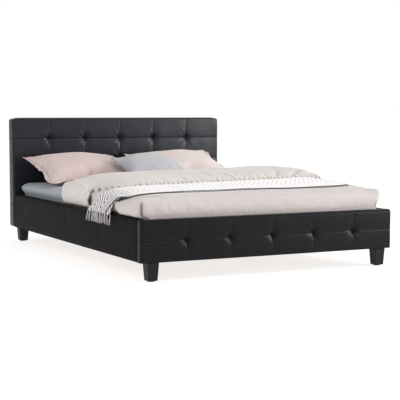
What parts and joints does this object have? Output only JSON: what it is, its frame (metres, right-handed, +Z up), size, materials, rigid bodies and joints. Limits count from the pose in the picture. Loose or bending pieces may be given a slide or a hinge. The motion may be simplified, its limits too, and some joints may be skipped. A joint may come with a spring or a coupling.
{
  "type": "bed",
  "caption": "Low upholstered double bed with a tufted headboard and footboard, slatted base, mattress, duvet, throw and pillows.",
  "frame": {"origin": "on the floor, under the middle of the bed", "axes": "+Y from the foot towards the headboard, +X to the right seen from the foot, +Z up"},
  "size_m": [1.56, 2.155, 0.815],
  "materials": {
    "faux_leather": "semi-gloss black faux leather, fine grain",
    "foam": "open-cell upholstery foam",
    "chipboard": "raw",
    "pine": "planed, unfinished",
    "leg_wood": "black stain, satin",
    "bracket_steel": "black powder coat",
    "bolt_steel": "zinc plated",
    "black_plastic": "matte",
    "dust_cloth": "non-woven",
    "webbing": "woven tape",
    "mattress_sheet": "woven cotton sheet",
    "duvet_cotton": "soft cotton",
    "throw_cloth": "herringbone weave",
    "pink_cotton": "soft cotton",
    "grey_cotton": "soft cotton"
  },
  "bodies": {
    "frame": {"beam_hanger_foot": "bracket_steel", "beam_hanger_head": "bracket_steel", "centre_beam": "pine", "centre_leg": "leg_wood", "corner_bracket_foot_left": "bracket_steel", "corner_bracket_foot_right": "bracket_steel", "corner_bracket_head_left": "bracket_steel", "corner_bracket_head_right": "bracket_steel", "footboard_board": "pine", "footboard_cover": "faux_leather", "footboard_foam": "foam", "glide_foot_left": "black_plastic", "glide_foot_right": "black_plastic", "glide_head_left": "black_plastic", "glide_head_right": "black_plastic", "headboard_back_cloth": "dust_cloth", "headboard_bottom_batten": "pine", "headboard_centre_stile": "pine", "headboard_cover": "faux_leather", "headboard_foam": "foam", "headboard_left_stile": "pine", "headboard_panel": "chipboard", "headboard_right_stile": "pine", "headboard_top_batten": "pine", "left_ledger": "pine", "left_rail_board": "pine", "left_rail_cover": "faux_leather", "leg_foot_left": "leg_wood", "leg_foot_right": "leg_wood", "leg_head_left": "leg_wood", "leg_head_right": "leg_wood", "rail_bolt_foot_left": "bolt_steel", "rail_bolt_foot_right": "bolt_steel", "rail_bolt_head_left": "bolt_steel", "rail_bolt_head_right": "bolt_steel", "right_ledger": "pine", "right_rail_board": "pine", "right_rail_cover": "faux_leather", "slat_01": "pine", "slat_02": "pine", "slat_03": "pine", "slat_04": "pine", "slat_05": "pine", "slat_06": "pine", "slat_07": "pine", "slat_08": "pine", "slat_09": "pine", "slat_10": "pine", "slat_11": "pine", "slat_12": "pine", "slat_tape_left": "webbing", "slat_tape_right": "webbing"},
    "mattress": {"mattress": "mattress_sheet"},
    "duvet": {"duvet": "duvet_cotton"},
    "throw": {"throw": "throw_cloth"},
    "pillow_left": {"pillow_left": "pink_cotton"},
    "pillow_right": {"pillow_right": "pink_cotton"},
    "cushion": {"cushion": "grey_cotton"},
    "levelling_foot": {"levelling_pad": "black_plastic"},
    "levelling_stem": {"levelling_stem": "bolt_steel"}
  },
  "joints": [
    {"name": "mattress_lift", "type": "slide", "parent": "frame", "child": "mattress", "axis": [0, 0, 1], "range_m": [0, 0.4]},
    {"name": "duvet_lift", "type": "slide", "parent": "mattress", "child": "duvet", "axis": [0, 0, 1], "range_m": [0, 0.35]},
    {"name": "throw_lift", "type": "slide", "parent": "duvet", "child": "throw", "axis": [0, 0, 1], "range_m": [0, 0.3]},
    {"name": "pillow_left_draw", "type": "slide", "parent": "mattress", "child": "pillow_left", "axis": [-0.9397, 0, 0.342], "range_m": [0, 0.3]},
    {"name": "pillow_right_lift", "type": "slide", "parent": "mattress", "child": "pillow_right", "axis": [0, 0, 1], "range_m": [0, 0.3]},
    {"name": "cushion_lift", "type": "slide", "parent": "pillow_right", "child": "cushion", "axis": [0, 0, 1], "range_m": [0, 0.25]},
    {"name": "foot_height", "type": "slide", "parent": "frame", "child": "levelling_foot", "axis": [0, 0, 1], "range_m": [-0.012, 0.012]},
    {"name": "stem_turn", "type": "hinge", "parent": "levelling_foot", "child": "levelling_stem", "pos_m": [0, 0, 0.0195], "axis": [0, 0, 1], "range_deg": [-2900, 2900]}
  ],
  "couplings": [
    {"joint": "stem_turn", "follows": "foot_height", "rad_per_m": 4188.8}
  ]
}
